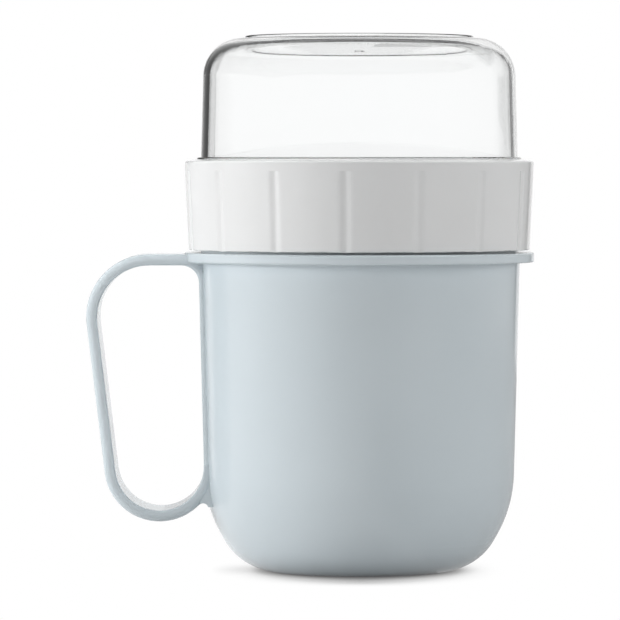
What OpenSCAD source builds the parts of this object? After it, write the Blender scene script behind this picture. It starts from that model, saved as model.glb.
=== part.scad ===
// Two-chamber muesli cup: a handled mug, a double screw collar with a partition and a clear upper bowl.
// The origin is the centre of the mug's base. +Z is up and the handle points to -X.

/* [Mug] */
// Outside diameter of the mug just under its flange
mug_d = 92; // [84:0.5:104]
// Height of the mug from its base to the underside of the flange
mug_h = 88.4; // [76:0.2:120]
// Wall thickness of the mug and its floor
mug_wall = 2.6; // [1.8:0.1:3.4]
// Lean of the mug's wall from upright, in degrees
mug_draft = 1.5; // [0.5:0.1:3]
// Radius of the heel, where the base turns up
heel_r = 17; // [10:0.5:20]
// Slope of the foot from upright, where the heel leads into the belly, in degrees
foot_slope = 30; // [22:1:36]
// Length of the straight taper between the heel and the belly
foot_len = 1.8; // [0.5:0.1:6]
// Radius of the belly, which leads the foot into the wall
belly_r = 37; // [28:1:50]
// Thickness of the flange
flange_t = 2.8; // [1.6:0.1:4]
// Reach of the flange beyond the wall
flange_out = 4.1; // [2.5:0.1:6]
// Radius on the flange's edges
flange_edge = 0.5; // [0.2:0.05:0.75]
// Step from the wall in to the neck
neck_step = 0.6; // [0.2:0.1:1.2]
// Radius on the rim of the neck
rim_edge = 0.5; // [0.2:0.1:0.5]

/* [Handle] */
// Thickness of the strap
handle_t = 3.2; // [2.8:0.1:4.5]
// Width of the strap along Y
handle_w = 24; // [16:0.5:30]
// Drop of the strap's top below the top of the flange
handle_drop = 0.4; // [0:0.1:1]
// Clear height of the loop for the fingers
loop_h = 69.8; // [58:0.2:74]
// Clear width of the loop for the fingers, at its widest
loop_w = 29.2; // [26:0.2:36]
// Inner radius of the loop at its upper outer corner
loop_top_r = 14.8; // [10:0.2:18]
// Inner radius of the loop at its lower end
loop_bottom_r = 12.6; // [10:0.2:14]
// Inner radius of the loop where its top meets the wall
loop_corner_r = 5; // [2:0.2:8]
// Radius on the strap's outer edges
strap_edge_out = 2.1; // [0.4:0.1:2.4]
// Radius on the strap's inner edges
strap_edge_in = 0.5; // [0.2:0.1:0.6]
// Radius of the fillet under the lower end of the handle
web_r = 1.5; // [0.8:0.1:3]
// Depth of the web's faces below the strap's sides
web_recess = 0.6; // [0.3:0.1:2]
// Radius on the edges of the pad, where the handle runs down the wall
pad_edge = 1; // [0.3:0.1:1.5]
// Depth of the pad's sides below the strap's sides
pad_recess = 0.2; // [0.1:0.05:0.5]
// Depth of the pad's face below the front line of the wall
pad_sink = 0.15; // [0.1:0.05:0.5]

/* [Thread] */
// Rise of the thread in one turn
thread_lead = 12; // [11:0.5:16]
// Number of ridges side by side on each thread
thread_starts = 4; // [3:1:4]
// Turn covered by one ridge, in degrees
thread_arc = 90; // [60:5:100]
// Height of a ridge above its wall
thread_h = 1.1; // [0.8:0.05:1.4]
// Width of a ridge at its root
thread_w = 1.1; // [0.8:0.05:1.2]
// Width of a ridge at its crest
thread_crest = 0.5; // [0.3:0.05:0.7]
// Radial gap between a ridge and the wall it runs along
thread_gap = 0.4; // [0.3:0.05:0.6]

/* [Collar] */
// Wall of the collar at its lower edge
collar_wall = 1.9; // [1.4:0.1:3]
// Lean of the collar's outside from upright, in degrees
collar_draft = 2.8; // [0:0.1:4]
// Lean of the collar's upper band, into which the flutes run out, in degrees
band_draft = 2.1; // [0:0.1:4]
// Gap between the flange and the collar
collar_gap = 0.7; // [0.4:0.1:2]
// Plain height in the collar below its lower ridges
collar_land = 2; // [1:0.1:4]
// Plain height on the neck above its ridges
neck_land = 4; // [2:0.1:6]
// Thickness of the partition between the two chambers
partition_t = 2; // [1.2:0.1:3]
// Fall of the collar's top from its lip to its outer edge
lip_fall = 0.5; // [0.1:0.1:1]
// Radius on the collar's upper outer edge
collar_edge = 0.7; // [0.3:0.1:1]
// Radius on the collar's lower outer edge
collar_foot_edge = 0.3; // [0.2:0.1:0.8]
// Number of grip flutes
flutes = 15; // [8:1:20]
// Width of a grip flute across its soft edges
flute_w = 5.2; // [3:0.1:6]
// Depth of a grip flute
flute_depth = 0.35; // [0.2:0.05:0.6]
// Plain height above the flutes
flute_land = 2.8; // [2:0.2:8]
// Turn of the first flute from the front, in degrees
flute_turn = -5; // [-12:0.5:12]

/* [Dome] */
// Height of the dome from its rim to its flat top
dome_h = 43.1; // [36:0.1:60]
// Wall thickness of the dome
dome_wall = 1.8; // [1.4:0.1:3]
// Lean of the dome's wall from upright, in degrees
dome_draft = 1.5; // [0.5:0.1:4]
// Outer radius of the dome's shoulder
dome_corner_r = 11; // [6:0.5:14]
// Height of the foot ring on the dome's top
ring_h = 0.7; // [0.4:0.1:2]
// Outside diameter of the foot ring
ring_d = 65.4; // [40:0.2:66]
// Width of the foot ring
ring_w = 2.1; // [1.4:0.1:4]
// Radius on the foot ring's edges
ring_edge = 0.45; // [0.1:0.05:0.5]
// Diameter of the shallow recess in the underside of the dome's top
recess_d = 62.4; // [36:0.2:64]
// Depth of the recess
recess_depth = 0.3; // [0.2:0.1:0.8]
// Plain height on the dome below its ridges
dome_land = 0.8; // [0.5:0.1:3]
// Gap between the upper ridges and the stop bead
bead_gap = 0.5; // [0.3:0.1:1.5]
// Height of the stop bead round the dome
bead_t = 2.2; // [1.2:0.1:3]
// Rise of the stop bead above the collar's lip
bead_proud = 0.6; // [0.1:0.05:0.8]
// Radius on the stop bead's upper edge
bead_edge = 0.5; // [0.1:0.1:0.8]
// Diameter of the moulding gate mark in the middle of the top's underside
gate_d = 2.8; // [1.5:0.1:4]
// Height of the moulding gate mark
gate_h = 0.4; // [0.2:0.1:0.5]

/* [Seals] */
// Thickness of the mug's seal
mug_seal_t = 2; // [1:0.1:3]
// Thickness of the dome's seal under the rim
dome_seal_t = 1.8; // [1:0.1:3]
// Height of the seal's lip inside the dome
seal_lip_h = 3; // [1:0.2:5]
// Thickness of the seal's lip inside the dome
seal_lip_t = 1.7; // [1:0.1:2.5]
// Width of the mug's seal inside the rim
seal_inset = 1.2; // [0.5:0.1:2]
// Gap between a seal and the wall beside it
seal_gap = 0.3; // [0.2:0.05:0.5]

/* [Hidden] */
$fn = 72;

// Overrun of cuts past the faces they open
over = 1;
// Depth to which a ridge or a gate mark is rooted in its wall
root = 0.4;
// Turn of one step along a ridge, in degrees
ridge_step = 6;
// Share of a ridge over which each end sinks into the wall
ridge_fade = 0.14;
// Reach of the handle's straight stretches into its bends
lap = 0.6;
// Difference by which the handle's straight stretches are slimmer than its bends
seam = 0.02;
// Reach of the pad's straight stretch into its bends
pad_lap = 0.25;
// Thickness of the pad as a share of the strap's
pad_share = 0.6;
// Share of the mug's radius down to which the handle is rooted, before the cavity is cut
core_share = 0.8;
// Number of narrow strips on each side of a flute, and the share of its half width that they take
flute_strips = 3;
flute_core = 0.6;
// Reach of a flute into the collar's upper band
band_lap = 1;
// Reach of a round corner into the shape that it belongs to, as a share of its radius
corner_share = 0.125;

// Outside of the mug: radius of the sloping wall at a height, and the corners of its profile
mug_r = mug_d / 2;
function wall_r(z) = mug_r - (mug_h - z) * tan(mug_draft);
belly_z = heel_r * (1 - sin(foot_slope)) + foot_len * cos(foot_slope)
    + belly_r * (sin(foot_slope) - sin(mug_draft));
belly_c = [wall_r(belly_z) - belly_r * cos(mug_draft), belly_z + belly_r * sin(mug_draft)];
heel_c = belly_c + (belly_r - heel_r) * [cos(foot_slope), -sin(foot_slope)]
    - foot_len * [sin(foot_slope), cos(foot_slope)];
bore_neck_r = mug_r - mug_wall / cos(mug_draft);

// Thread: spacing of the ridges, and the height that a pair of meshed ridges takes
thread_pitch = thread_lead / thread_starts;
ridge_h = thread_lead * thread_arc / 360 + thread_w;
mesh_h = ridge_h + thread_pitch / 2;
neck_r = mug_r - neck_step;
crest_r = neck_r + thread_h;
bore_r = crest_r + thread_gap;
inner_crest_r = neck_r + thread_gap;

// Heights, from the flange up to the top of the foot ring
flange_z = mug_h + flange_t;
collar_z = flange_z + collar_gap;
lower_ridge_z = collar_z + collar_land;
rim_z = lower_ridge_z + mesh_h + neck_land;
partition_z = rim_z + mug_seal_t;
shelf_z = partition_z + partition_t;
dome_z = shelf_z + dome_seal_t;
upper_ridge_z = dome_z + dome_land;
bead_z = upper_ridge_z + mesh_h + bead_gap;
lip_z = bead_z + bead_t - bead_proud;
edge_z = lip_z - lip_fall;
dome_top_z = dome_z + dome_h;

// Collar: outer radii at its lower edge, where its upper band begins and at its upper edge
band_z = edge_z - flute_land - band_lap;
collar_low_r = bore_r + collar_wall;
band_r = collar_low_r + (band_z - collar_z) * tan(collar_draft);
collar_top_r = band_r + (edge_z - band_z) * tan(band_draft);
// Depth of a flute at a share t of its half width, as a smooth valley
function flute_fall(t) = flute_depth * pow(cos(90 * t), 4);

// Dome: radius at which its wall would meet its flat top, without the round shoulder
dome_top_r = neck_r - (dome_top_z - bead_z) * tan(dome_draft);

// Handle, drawn in a plane of distance from the axis and height: the loop's side along the wall, its upper
// corner there and the centres of its two round ends
function loop_r(z) = wall_r(z) - pad_sink / cos(mug_draft);
wall_out = [cos(mug_draft), -sin(mug_draft)];
loop_z = flange_z - handle_drop - handle_t;
corner_z = loop_z - loop_corner_r;
corner_m = [loop_r(corner_z) + loop_corner_r / cos(mug_draft), corner_z];
up_z = loop_z - loop_top_r;
up_c = [loop_r(up_z) + loop_w - loop_top_r, up_z];
low_z = loop_z - loop_h + loop_bottom_r;
low_c = [loop_r(low_z) + loop_bottom_r / cos(mug_draft), low_z];
// Direction square to the outer limb, which touches both round ends
limb = up_c - low_c;
limb_a = -atan2(limb[0], limb[1]) - asin((loop_top_r - loop_bottom_r) / norm(limb));
limb_n = [cos(limb_a), sin(limb_a)];
limb_len = sqrt(limb * limb - (loop_top_r - loop_bottom_r) * (loop_top_r - loop_bottom_r));
core_r = core_share * wall_r(low_z);

function unit(v) = v / norm(v);

// Centre of the circle of radius r in the corner p between the points a and b
function corner_c(a, p, b, r) =
    let (u = unit(a - p), v = unit(b - p), half = acos(u * v) / 2)
    p + unit(u + v) * r / sin(half);

// Point on the line from p to a where the round corner begins
function corner_t(a, p, b, r) =
    let (u = unit(a - p), v = unit(b - p), half = acos(u * v) / 2)
    p + u * r / tan(half);

// Meeting point of the lines through a and b that are square to the directions na and nb
function corner_tip(a, na, b, nb) =
    let (ka = a * na, kb = b * nb, det = na[0] * nb[1] - na[1] * nb[0])
    [(ka * nb[1] - kb * na[1]) / det, (kb * na[0] - ka * nb[0]) / det];

// Upper or lower meeting point (side 1 or -1) of the circles a, ra and b, rb
function circles_meet(a, ra, b, rb, side) =
    let (
        d = norm(b - a),
        e = (b - a) / d,
        along = (ra * ra - rb * rb + d * d) / (2 * d),
        across = sqrt(ra * ra - along * along)
    )
    a + along * e + side * across * [-e[1], e[0]];

// Polygon whose corners are rounded by the radii in r, with 0 for a sharp corner
module rounded(pts, r) {
    n = len(pts);
    cut = [
        for (i = [0 : n - 1])
            let (a = pts[(i + n - 1) % n], p = pts[i], b = pts[(i + 1) % n])
            each (r[i] > 0 ? [corner_t(a, p, b, r[i]), corner_t(b, p, a, r[i])] : [p])
    ];
    polygon(cut);
    for (i = [0 : n - 1]) {
        if (r[i] > 0) {
            a = pts[(i + n - 1) % n];
            p = pts[i];
            b = pts[(i + 1) % n];
            c = corner_c(a, p, b, r[i]);
            t0 = corner_t(a, p, b, r[i]);
            t1 = corner_t(b, p, a, r[i]);
            intersection() {
                translate(c) circle(r[i]);
                polygon([t0, p, t1, (t0 + t1) / 2 + unit(c - p) * r[i] * corner_share]);
            }
        }
    }
}

// One thread ridge on a round wall, standing out or in from the wall's radius to the crest's radius.
// Its low end is at angle 0, its lower side is at height 0, and both ends sink into the wall.
module ridge(wall, crest) {
    steps = ceil(thread_arc / ridge_step);
    outward = crest > wall;
    foot = outward ? wall - root : wall + root;
    sunk = (wall + foot) / 2;
    half_w = thread_w / 2;
    half_crest = thread_crest / 2;
    function fade(t) = min(1, t / ridge_fade, (1 - t) / ridge_fade);
    function tip(t) = sunk + (crest - sunk) * fade(t);
    // Corners of the ridge's section as radius and height, counted from its inner lower corner
    function section(t) = outward
        ? [[foot, -half_w], [tip(t), -half_crest], [tip(t), half_crest], [foot, half_w]]
        : [[tip(t), -half_crest], [foot, -half_w], [foot, half_w], [tip(t), half_crest]];
    function at(t, p) = [
        p[0] * cos(thread_arc * t),
        p[0] * sin(thread_arc * t),
        p[1] + half_w + thread_lead * thread_arc / 360 * t
    ];
    points = [
        for (i = [0 : steps], p = section(i / steps))
            at(i / steps, p)
    ];
    sides = [
        for (i = [0 : steps - 1], k = [0 : 3])
            let (a = 4 * i + k, b = 4 * i + (k + 1) % 4)
            each [[a, b + 4, a + 4], [a, b, b + 4]]
    ];
    last = 4 * steps;
    ends = [[0, 2, 1], [0, 3, 2], [last, last + 1, last + 2], [last, last + 2, last + 3]];
    polyhedron(points, concat(sides, ends));
}

// Ridges standing out from a round wall of radius neck_r, with their lower ends at height z
module outer_thread(z) {
    for (i = [0 : thread_starts - 1]) {
        translate([0, 0, z])
            rotate(360 / thread_starts * i)
            ridge(neck_r, crest_r);
    }
}

// Ridges standing in from the collar's bore, with their lower ends at height z
module inner_thread(z) {
    for (i = [0 : thread_starts - 1]) {
        translate([0, 0, z])
            rotate(360 / thread_starts * i)
            ridge(bore_r, inner_crest_r);
    }
}

// Profile of the mug's body, moved in from its outside by the given amount, up to the height top
module body_profile(inset, top) {
    side = [cos(mug_draft), -sin(mug_draft)];
    foot = [cos(foot_slope), -sin(foot_slope)];
    wall_low = belly_c + (belly_r - inset) * side;
    foot_top = belly_c + (belly_r - inset) * foot;
    foot_low = heel_c + (heel_r - inset) * foot;
    wall_top = [mug_r - inset / cos(mug_draft), mug_h];
    belly_tip = corner_tip(wall_low, side, foot_top, foot);
    polygon([
        [0, inset], [heel_c[0], inset], foot_low, foot_top, wall_low, wall_top, [wall_top[0], top], [0, top]
    ]);
    translate(heel_c) circle(heel_r - inset);
    intersection() {
        translate(belly_c) circle(belly_r - inset);
        polygon([wall_low, belly_tip, foot_top, (wall_low + foot_top) / 2 - side]);
    }
}

// Cross-section of the strap, from its inner face at radius r outwards, slimmer all round by inset
module strap_section(r, inset) {
    half = handle_w / 2 - inset;
    inner = r + inset;
    outer = r + handle_t - inset;
    rounded(
        [[inner, -half], [outer, -half], [outer, half], [inner, half]],
        [strap_edge_in, strap_edge_out, strap_edge_out, strap_edge_in] - inset * [1, 1, 1, 1]
    );
}

// Cross-section of the pad, from its face at radius r outwards, slimmer by inset
module pad_section(r, inset) {
    half = handle_w / 2 - pad_recess - inset;
    face = r + inset;
    back = r + pad_share * handle_t;
    edge = pad_edge - inset;
    rounded([[face, -half], [back, -half], [back, half], [face, half]], [edge, 0, 0, edge]);
}

// Round stretch of a section about c, from angle a0 up to a1 in the handle's plane
module bend(c, a0, a1) {
    translate([c[0], 0, c[1]])
        rotate([90, 0, 0])
        rotate(a0)
        rotate_extrude(angle = a1 - a0)
        children();
}

// Straight stretch of a section of the given length, starting at p on the loop's side. Its outer face looks
// along the angle a in the handle's plane. It reaches a little way into the bends, by reach.
module run(p, a, length, reach) {
    translate([p[0], 0, p[1]])
        rotate([90, 0, 0])
        rotate(a)
        rotate([90, 0, 0])
        translate([0, 0, -reach])
        linear_extrude(length + 2 * reach)
        children();
}

// Flat web between the strap and the wall, in the handle's plane. The fillet under it leads into the
// straight wall, or into the belly where the handle reaches that low.
module web_profile() {
    down = [-sin(mug_draft), -cos(mug_draft)];
    strap_r = loop_bottom_r + handle_t;
    fillet_r = strap_r + web_r - seam;
    wall_gap = loop_bottom_r - pad_sink;
    drop = sqrt(fillet_r * fillet_r - (wall_gap - web_r) * (wall_gap - web_r));
    on_wall = low_c - wall_gap * wall_out + drop * down;
    straight = on_wall[1] > belly_z;
    web_c = straight
        ? on_wall + web_r * wall_out
        : circles_meet(low_c, fillet_r, belly_c, belly_r + web_r - seam, 1);
    on_mug = straight ? on_wall : belly_c + belly_r * unit(web_c - belly_c);
    on_strap = low_c + strap_r * unit(web_c - low_c);
    corner_back = loop_corner_r + handle_t / 2;
    low_back = loop_bottom_r + handle_t / 2;
    mid_z = loop_z + handle_t / 2;
    difference() {
        polygon([
            on_strap, web_c, on_mug, [core_r, on_mug[1]], [core_r, mid_z], [corner_m[0], mid_z],
            corner_m, corner_m - corner_back * wall_out, low_c - low_back * wall_out
        ]);
        translate(web_c) circle(web_r);
        translate(corner_m) circle(corner_back);
    }
}

// Strap handle with its pad on the wall and its web. Its straight stretches are a hair slimmer than its
// bends, so that they join as one solid.
module handle() {
    wall_a = 180 - mug_draft;
    pad_low = low_c - loop_bottom_r * wall_out;
    pad_top = corner_m - loop_corner_r * wall_out;
    web_w = handle_w - 2 * web_recess;
    rotate(180) {
        run([core_r, loop_z], 90, up_c[0] - core_r, lap) strap_section(0, seam);
        bend(up_c, limb_a, 90) strap_section(loop_top_r, 0);
        run(up_c + loop_top_r * limb_n, limb_a, limb_len, lap) strap_section(0, seam);
        bend(low_c, wall_a - 360, limb_a) strap_section(loop_bottom_r, 0);
        run(pad_low, wall_a, norm(pad_top - pad_low), pad_lap) pad_section(0, seam);
        bend(corner_m, 90, wall_a) pad_section(loop_corner_r, 0);
        translate([0, web_w / 2, 0])
            rotate([90, 0, 0])
            linear_extrude(web_w)
            web_profile();
    }
}

module mug() {
    flange_r = mug_r + flange_out;
    mid_z = mug_h + flange_t / 2;
    color([0.76, 0.83, 0.88])
    difference() {
        union() {
            rotate_extrude() body_profile(0, mid_z);
            rotate_extrude() rounded(
                [[0, mug_h], [flange_r, mug_h], [flange_r, flange_z], [0, flange_z]],
                [0, flange_edge, flange_edge, 0]
            );
            rotate_extrude() rounded(
                [[0, mid_z], [neck_r, mid_z], [neck_r, rim_z], [0, rim_z]],
                [0, 0, rim_edge, 0]
            );
            outer_thread(lower_ridge_z + thread_pitch / 2);
            handle();
        }
        rotate_extrude() body_profile(mug_wall, rim_z + over);
    }
}

module mug_seal() {
    seal_r = bore_r - seal_gap;
    hole_r = bore_neck_r - seal_inset;
    color([0.93, 0.93, 0.91])
    translate([0, 0, rim_z])
    difference() {
        cylinder(r = seal_r, h = mug_seal_t);
        translate([0, 0, -over]) cylinder(r = hole_r, h = mug_seal_t + 2 * over);
    }
}

// Cross-section of the cutter for one flute, from the collar's outside at 0 inwards to -X. Its strips follow
// the valley, and the outermost strip on each side runs on straight until it is clear of the collar.
module flute_section() {
    half = flute_w / 2;
    next = flute_core * (1 + 1 / flute_strips);
    end = 2 * flute_core;
    slope = (flute_fall(next) - flute_fall(flute_core)) / (next - flute_core);
    end_fall = flute_fall(flute_core) + slope * (end - flute_core);
    // Point at a share t of the half width, at a depth below the collar's round outside
    function at(t, depth) = [-pow(half * t, 2) / (2 * collar_low_r) - depth, half * t];
    strips = [
        for (i = [-flute_strips : flute_strips])
            let (t = flute_core * i / flute_strips)
            at(t, flute_fall(t))
    ];
    polygon(concat(
        [[over, -half * end], at(-end, end_fall)],
        strips,
        [at(end, end_fall), [over, half * end]]
    ));
}

// Cutter for one grip flute, along the collar's sloping outside
module flute() {
    reach = (edge_z - flute_land - collar_z) / cos(collar_draft);
    translate([collar_low_r, 0, collar_z])
        rotate([0, collar_draft, 0])
        translate([0, 0, -over])
        linear_extrude(over + reach)
        flute_section();
}

module collar() {
    color([0.93, 0.93, 0.93]) {
        difference() {
            rotate_extrude() difference() {
                rounded(
                    [
                        [0, collar_z], [collar_low_r, collar_z], [band_r, band_z],
                        [collar_top_r, edge_z], [bore_r, lip_z], [0, lip_z]
                    ],
                    [0, collar_foot_edge, 0, collar_edge, 0, 0]
                );
                translate([0, collar_z - over]) square([bore_r, partition_z - collar_z + over]);
                translate([0, shelf_z]) square([bore_r, lip_z - shelf_z + over]);
            }
            for (i = [0 : flutes - 1]) {
                rotate(flute_turn - 90 + 360 / flutes * i) flute();
            }
        }
        inner_thread(lower_ridge_z);
        inner_thread(upper_ridge_z + thread_pitch / 2);
    }
}

module dome_seal() {
    lip_r = neck_r - dome_wall - seal_gap;
    color([0.93, 0.93, 0.91])
    rotate_extrude() {
        translate([lip_r - seal_lip_t, shelf_z]) square([neck_r - lip_r + seal_lip_t, dome_seal_t]);
        translate([lip_r - seal_lip_t, shelf_z]) square([seal_lip_t, dome_seal_t + seal_lip_h]);
    }
}

module dome() {
    hollow_r = neck_r - dome_wall;
    bead_root_r = neck_r - dome_wall / 2;
    ring_root_z = dome_top_z - dome_wall / 2;
    ring_z = dome_top_z + ring_h;
    ring_out_r = ring_d / 2;
    ring_in_r = ring_out_r - ring_w;
    under_z = dome_top_z - dome_wall;
    recess_r = recess_d / 2;
    color([0.9, 0.95, 0.97, 0.35]) {
        rotate_extrude() {
            difference() {
                rounded(
                    [
                        [0, dome_z], [neck_r, dome_z], [neck_r, bead_z],
                        [dome_top_r, dome_top_z], [0, dome_top_z]
                    ],
                    [0, 0, 0, dome_corner_r, 0]
                );
                rounded(
                    [
                        [0, dome_z - over], [hollow_r, dome_z - over], [hollow_r, bead_z],
                        [dome_top_r - dome_wall, dome_top_z - dome_wall], [0, dome_top_z - dome_wall]
                    ],
                    [0, 0, 0, dome_corner_r - dome_wall, 0]
                );
                polygon([
                    [0, under_z - over], [recess_r + over, under_z - over],
                    [recess_r - recess_depth, under_z + recess_depth], [0, under_z + recess_depth]
                ]);
            }
            rounded(
                [
                    [bead_root_r, bead_z], [crest_r, bead_z],
                    [crest_r, bead_z + bead_t], [bead_root_r, bead_z + bead_t]
                ],
                [0, 0, bead_edge, 0]
            );
            rounded(
                [[ring_in_r, ring_root_z], [ring_out_r, ring_root_z], [ring_out_r, ring_z], [ring_in_r, ring_z]],
                [0, 0, ring_edge, ring_edge]
            );
        }
        translate([0, 0, under_z + recess_depth - gate_h]) cylinder(d = gate_d, h = gate_h + root);
        outer_thread(upper_ridge_z);
    }
}

mug();
mug_seal();
collar();
dome_seal();
dome();
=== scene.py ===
"""Looks of the muesli cup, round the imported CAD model.

The CAD nodes keep their shapes and get materials. A white studio and the photograph's camera go with them.
"""

import math

import bpy
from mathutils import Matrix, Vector

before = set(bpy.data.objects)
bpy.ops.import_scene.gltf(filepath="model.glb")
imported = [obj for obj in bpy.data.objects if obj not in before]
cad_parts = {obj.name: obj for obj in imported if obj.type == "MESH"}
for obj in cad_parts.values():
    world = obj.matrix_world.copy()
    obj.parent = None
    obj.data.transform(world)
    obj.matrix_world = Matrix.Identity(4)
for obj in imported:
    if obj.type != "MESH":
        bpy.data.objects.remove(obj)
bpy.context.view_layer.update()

MM = 0.001

# Camera: the photograph's eye point, the point it aims at and how far it sees in metres, and its long lens in
# millimetres
EYE = Vector((-0.0141, -1.404, 0.117))
AIM = Vector((-0.0141, 0.0, 0.0746))
VIEW_END = 20
SENSOR = 36.0
LENS = 284.5

# Plastics: how much the hard ones bend light, the size of the clouds in their colour, the size of the patches of
# gloss and how far these depart from the mean roughness, and the strength of the grain
PLASTIC_IOR = 1.49
CLOUD_SIZE = 30 * MM
PATCH_SIZE = 4 * MM
PATCH_SPREAD = 0.015
GRAIN_STRENGTH = 0.5
# The range that most of a noise value lies in
NOISE_RANGE = (0.3, 0.7)
# A mix node's sockets for colours, by number because others share their names
MIX_FROM = 6
MIX_TO = 7
MIX_RESULT = 2

# Studio: strength of the light all round, and the floor's width and grey
AMBIENT = 0.26
FLOOR_SIZE = 8
FLOOR_GREY = 0.61
# Painted contact shadow on the floor: its reach, the lean of its light from straight above to either side in
# degrees, its depth, and the distances in front of the cup's axis between which it fades out. To the sides they
# are shorter by a factor
SHADOW_REACH = 24 * MM
SHADOW_LEAN = 86
SHADOW_POWER = 3.2
SHADOW_FADE = (46 * MM, 68 * MM)
SHADOW_NARROW = 1.6
SHADOW_SAMPLES = 16
# Soft lights: their distance from the cup's axis, and the point that they face
LIGHT_REACH = 1.25
LIGHT_AIM = Vector((0, 0, 0.08))
# Studio cards behind the cup: their distance from its axis, and the heights that the low, side and top ones reach
CARD_DISTANCE = 1.2
LOW_END = 0.115
SIDE_END = 0.87
TOP_END = 1.75
# Angles from straight behind, to the right where positive, at which neighbouring cards meet and the last ones end
LEFT_END = -37
LEFT_MEET = -25
RIGHT_MEET = 26
FAR_RIGHT_MEET = 32.5
RIGHT_END = 65


def add(tree, kind, inputs=None, **settings):
    """A shader node with its settings, and with its inputs set to values or linked to sockets."""
    node = tree.nodes.new(kind)
    for key, value in settings.items():
        setattr(node, key, value)
    for key, value in (inputs or {}).items():
        if isinstance(value, bpy.types.NodeSocket):
            tree.links.new(value, node.inputs[key])
        else:
            node.inputs[key].default_value = value
    return node


def math_node(tree, operation, a, b):
    """The result of a sum on two values or sockets."""
    return add(tree, "ShaderNodeMath", {0: a, 1: b}, operation=operation).outputs[0]


def ramp(tree, value, start, end):
    """Runs evenly from one end to the other while a value goes over its range, and holds still beyond it."""
    return add(
        tree,
        "ShaderNodeMapRange",
        {"Value": value, "From Min": start[0], "From Max": start[1], "To Min": end[0], "To Max": end[1]},
    ).outputs["Result"]


def place_on(tree):
    """The place of a point in its object's own coordinates."""
    return add(tree, "ShaderNodeTexCoord").outputs["Object"]


def noise(tree, size, detail=2.0):
    """Noise from 0 to 1 with features of the given size in metres."""
    return add(
        tree,
        "ShaderNodeTexNoise",
        {"Vector": place_on(tree), "Scale": 1 / size, "Detail": detail},
    ).outputs["Fac"]


def material(name):
    """A new material, with its tree and its Principled shader."""
    made = bpy.data.materials.new(name)
    made.use_nodes = True
    return made, made.node_tree, made.node_tree.nodes["Principled BSDF"]


def show(tree, shader):
    """Makes a shader the one that a material's surface shows."""
    tree.links.new(shader.outputs[0], tree.nodes["Material Output"].inputs["Surface"])


def moulded(name, colour, shade, roughness, grain, depth):
    """Moulded plastic: faint clouds of colour, patches of gloss and a fine grain of the given size and depth."""
    made, tree, shader = material(name)
    clouds = ramp(tree, noise(tree, CLOUD_SIZE), NOISE_RANGE, (0.0, 1.0))
    mixed = add(
        tree,
        "ShaderNodeMix",
        {"Factor": clouds, MIX_FROM: (*colour, 1), MIX_TO: (*shade, 1)},
        data_type="RGBA",
    )
    tree.links.new(mixed.outputs[MIX_RESULT], shader.inputs["Base Color"])
    gloss_range = (roughness - PATCH_SPREAD, roughness + PATCH_SPREAD)
    gloss = ramp(tree, noise(tree, PATCH_SIZE), NOISE_RANGE, gloss_range)
    tree.links.new(gloss, shader.inputs["Roughness"])
    bump = add(
        tree,
        "ShaderNodeBump",
        {"Height": noise(tree, grain, detail=3.0), "Strength": GRAIN_STRENGTH, "Distance": depth},
    )
    tree.links.new(bump.outputs["Normal"], shader.inputs["Normal"])
    return made, shader


def mug_plastic():
    """Satin pale blue."""
    made, shader = moulded(
        "mug_satin_blue",
        colour=(0.668, 0.738, 0.775),
        shade=(0.65, 0.722, 0.76),
        roughness=0.12,
        grain=0.35 * MM,
        depth=0.005 * MM,
    )
    shader.inputs["IOR"].default_value = PLASTIC_IOR
    return made


def collar_plastic():
    """Satin off-white."""
    made, shader = moulded(
        "collar_satin_white",
        colour=(0.83, 0.835, 0.835),
        shade=(0.81, 0.815, 0.815),
        roughness=0.12,
        grain=0.4 * MM,
        depth=0.004 * MM,
    )
    shader.inputs["IOR"].default_value = PLASTIC_IOR
    return made


def silicone():
    """Matt pale silicone that lets a little light in."""
    made, shader = moulded(
        "seal_silicone",
        colour=(0.78, 0.78, 0.75),
        shade=(0.73, 0.73, 0.70),
        roughness=0.55,
        grain=0.25 * MM,
        depth=0.02 * MM,
    )
    shader.inputs["Subsurface Weight"].default_value = 0.25
    shader.inputs["Subsurface Scale"].default_value = 1.5 * MM
    return made


def clear_plastic():
    """Clear plastic with very faint patches of gloss, which also lets the lamps light what is under it."""
    made, tree, shader = material("dome_clear")
    shader.inputs["Base Color"].default_value = (0.98, 0.985, 0.985, 1)
    shader.inputs["Transmission Weight"].default_value = 1.0
    shader.inputs["IOR"].default_value = PLASTIC_IOR
    gloss = ramp(tree, noise(tree, 6 * MM), NOISE_RANGE, (0.0, 0.01))
    tree.links.new(gloss, shader.inputs["Roughness"])
    passing = add(tree, "ShaderNodeBsdfTransparent", {"Color": (0.93, 0.94, 0.94, 1)})
    shaded = add(tree, "ShaderNodeLightPath").outputs["Is Shadow Ray"]
    show(tree, add(tree, "ShaderNodeMixShader", {0: shaded, 1: shader.outputs[0], 2: passing.outputs[0]}))
    return made


def dress(node, made):
    """Puts one material on a CAD node."""
    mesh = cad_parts[node].data
    mesh.materials.clear()
    mesh.materials.append(made)


def seen(tree):
    """1 for rays from the camera, from gloss and through clear plastic, which see a white backdrop.

    It is 0 for the light itself, also where a ray has already come off a matt surface.
    """
    path = add(tree, "ShaderNodeLightPath").outputs
    mirrored = math_node(tree, "MAXIMUM", path["Is Glossy Ray"], path["Is Transmission Ray"])
    shown = math_node(tree, "MAXIMUM", path["Is Camera Ray"], mirrored)
    unlit = math_node(tree, "LESS_THAN", path["Diffuse Depth"], 0.5)
    return math_node(tree, "MULTIPLY", shown, unlit)


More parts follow.
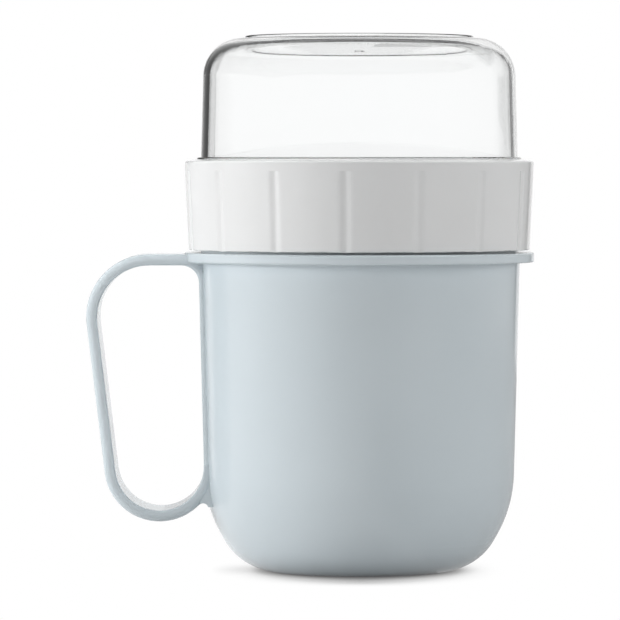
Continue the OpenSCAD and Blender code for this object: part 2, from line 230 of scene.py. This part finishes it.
def white_world():
    """Even light all round, seen as white."""
    world = bpy.data.worlds.new("studio")
    bpy.context.scene.world = world
    world.use_nodes = True
    tree = world.node_tree
    shader = tree.nodes["Background"]
    shader.inputs["Color"].default_value = (1, 1, 1, 1)
    tree.links.new(ramp(tree, seen(tree), (0.0, 1.0), (AMBIENT, 1.0)), shader.inputs["Strength"])


def open_side(tree, lean):
    """Open share of the hemisphere above the floor within reach, leaning by an angle to the right where positive,
    for the painted contact shadow.
    """
    a = math.radians(lean)
    direction = add(tree, "ShaderNodeCombineXYZ", {"X": math.sin(a), "Z": math.cos(a)})
    return add(
        tree,
        "ShaderNodeAmbientOcclusion",
        {"Distance": SHADOW_REACH, "Normal": direction.outputs[0]},
        samples=SHADOW_SAMPLES,
    ).outputs["AO"]


def painted_shadow_level(tree):
    """Brightness of the floor's painted contact shadow: occlusion leaning to either side, faded out away from the
    cup's axis, as lights on both sides would wash it out.
    """
    light = math_node(tree, "MAXIMUM", open_side(tree, -SHADOW_LEAN), open_side(tree, SHADOW_LEAN))
    shade = math_node(tree, "SUBTRACT", 1.0, math_node(tree, "POWER", light, SHADOW_POWER))
    narrow = {0: place_on(tree), 1: (SHADOW_NARROW, 1, 1)}
    spot = add(tree, "ShaderNodeVectorMath", narrow, operation="MULTIPLY").outputs[0]
    distance = add(tree, "ShaderNodeVectorMath", {0: spot}, operation="LENGTH").outputs["Value"]
    fade = ramp(tree, distance, SHADOW_FADE, (1.0, 0.0))
    return math_node(tree, "SUBTRACT", 1.0, math_node(tree, "MULTIPLY", shade, fade))


def white_floor():
    """A wide matt floor, seen as white emission except for the painted contact shadow."""
    bpy.ops.mesh.primitive_plane_add(size=FLOOR_SIZE)
    floor = bpy.context.object
    floor.name = "floor"
    made, tree, shader = material("floor_white")
    shader.inputs["Base Color"].default_value = (FLOOR_GREY, FLOOR_GREY, FLOOR_GREY, 1)
    shader.inputs["Roughness"].default_value = 0.9
    # The camera, gloss and clear plastic see the floor as this emission, darkened by the painted contact shadow
    glow = add(tree, "ShaderNodeEmission", {"Strength": painted_shadow_level(tree)})
    show(tree, add(tree, "ShaderNodeMixShader", {0: seen(tree), 1: shader.outputs[0], 2: glow.outputs[0]}))
    floor.data.materials.append(made)


def beside(turn, height):
    """A place for a light at a height, turned by an angle from the front, to the right where it is positive."""
    a = math.radians(turn)
    return Vector((LIGHT_REACH * math.sin(a), -LIGHT_REACH * math.cos(a), height))


def soft_box(name, place, size, power):
    """A soft light of a width and height, which faces the cup."""
    lamp = bpy.data.lights.new(name, "AREA")
    lamp.shape = "RECTANGLE"
    lamp.size, lamp.size_y = size
    lamp.energy = power
    obj = bpy.data.objects.new(name, lamp)
    obj.location = place
    obj.rotation_euler = (LIGHT_AIM - place).to_track_quat("-Z", "Y").to_euler()
    obj.visible_camera = False
    obj.visible_glossy = False
    obj.visible_transmission = False
    bpy.context.scene.collection.objects.link(obj)


def upright(turn, height):
    """Corners of a card behind the cup, between two angles from straight behind and two heights."""
    left, right = [CARD_DISTANCE * math.tan(math.radians(a)) for a in turn]
    low, high = height
    return [(x, CARD_DISTANCE, z) for x, z in [(left, low), (right, low), (right, high), (left, high)]]


def flat(across, along, height):
    """Corners of a level card, from left to right across the view and from front to back along it."""
    (left, right), (front, back) = across, along
    return [(left, front, height), (right, front, height), (right, back, height), (left, back, height)]


def card(name, corners, levels):
    """A studio card that only gloss and clear plastic show. Its brightness goes evenly from left to right."""
    mesh = bpy.data.meshes.new(name)
    mesh.from_pydata(corners, [], [(0, 1, 2, 3)])
    obj = bpy.data.objects.new(name, mesh)
    bpy.context.scene.collection.objects.link(obj)
    made, tree, _ = material(name)
    across = add(tree, "ShaderNodeSeparateXYZ", {0: place_on(tree)}).outputs["X"]
    strength = ramp(tree, across, (corners[0][0], corners[1][0]), levels)
    show(tree, add(tree, "ShaderNodeEmission", {"Strength": strength}))
    mesh.materials.append(made)
    obj.visible_camera = False
    obj.visible_diffuse = False
    obj.visible_shadow = False


def camera():
    """The photograph's view of the cup."""
    lens = bpy.data.cameras.new("camera")
    lens.sensor_width = SENSOR
    lens.lens = LENS
    lens.clip_end = VIEW_END
    obj = bpy.data.objects.new("camera", lens)
    obj.location = EYE
    obj.rotation_euler = (AIM - EYE).to_track_quat("-Z", "Y").to_euler()
    bpy.context.scene.collection.objects.link(obj)
    bpy.context.scene.camera = obj


camera()
dress("mug", mug_plastic())
dress("collar", collar_plastic())
seal_silicone = silicone()
dress("mug_seal", seal_silicone)
dress("dome_seal", seal_silicone)
dress("dome", clear_plastic())

white_world()
white_floor()
soft_box("key", beside(turn=-87, height=0.18), size=(0.6, 0.35), power=9.5)
soft_box("front", beside(turn=-10, height=0.52), size=(0.5, 0.7), power=2.72)
soft_box("fill", beside(turn=90, height=0.4), size=(0.5, 0.5), power=3.85)
soft_box("overhead", Vector((0, 0, 1.3)), size=(0.8, 0.8), power=9.0)

# Dark cards behind and above the cup draw the clear dome's edges. Pale ones stand beside them on the right, and
# the low one on the left keeps the mug's left edge light
card("card_left_low", upright((LEFT_END, -5), (0.0, LOW_END)), levels=(0.7, 0.8))
card("card_left", upright((LEFT_END, LEFT_MEET), (LOW_END, SIDE_END)), levels=(0.08, 0.08))
card("card_left_edge", upright((LEFT_MEET, -11.5), (LOW_END, SIDE_END)), levels=(0.08, 0.38))
card("card_right_pale", upright((4, RIGHT_MEET), (0.0, SIDE_END)), levels=(1.0, 0.88))
card("card_right", upright((RIGHT_MEET, FAR_RIGHT_MEET), (0.0, SIDE_END)), levels=(0.14, 0.16))
card("card_far_right", upright((FAR_RIGHT_MEET, RIGHT_END), (0.0, SIDE_END)), levels=(0.5, 1.0))
card("card_top", upright((LEFT_END, RIGHT_END), (SIDE_END, TOP_END)), levels=(0.11, 0.13))
card("card_over", flat(across=(-0.8, 0.8), along=(-0.8, 0.8), height=1.8), levels=(0.1, 0.1))
# A grey card on the floor to the right keeps the white floor's glare off the mug's right edge and heel
card("card_floor", flat(across=(0.022, 1.0), along=(-0.4, 1.19), height=0.5 * MM), levels=(0.47, 0.47))
bpy.context.scene.view_settings.view_transform = "Standard"
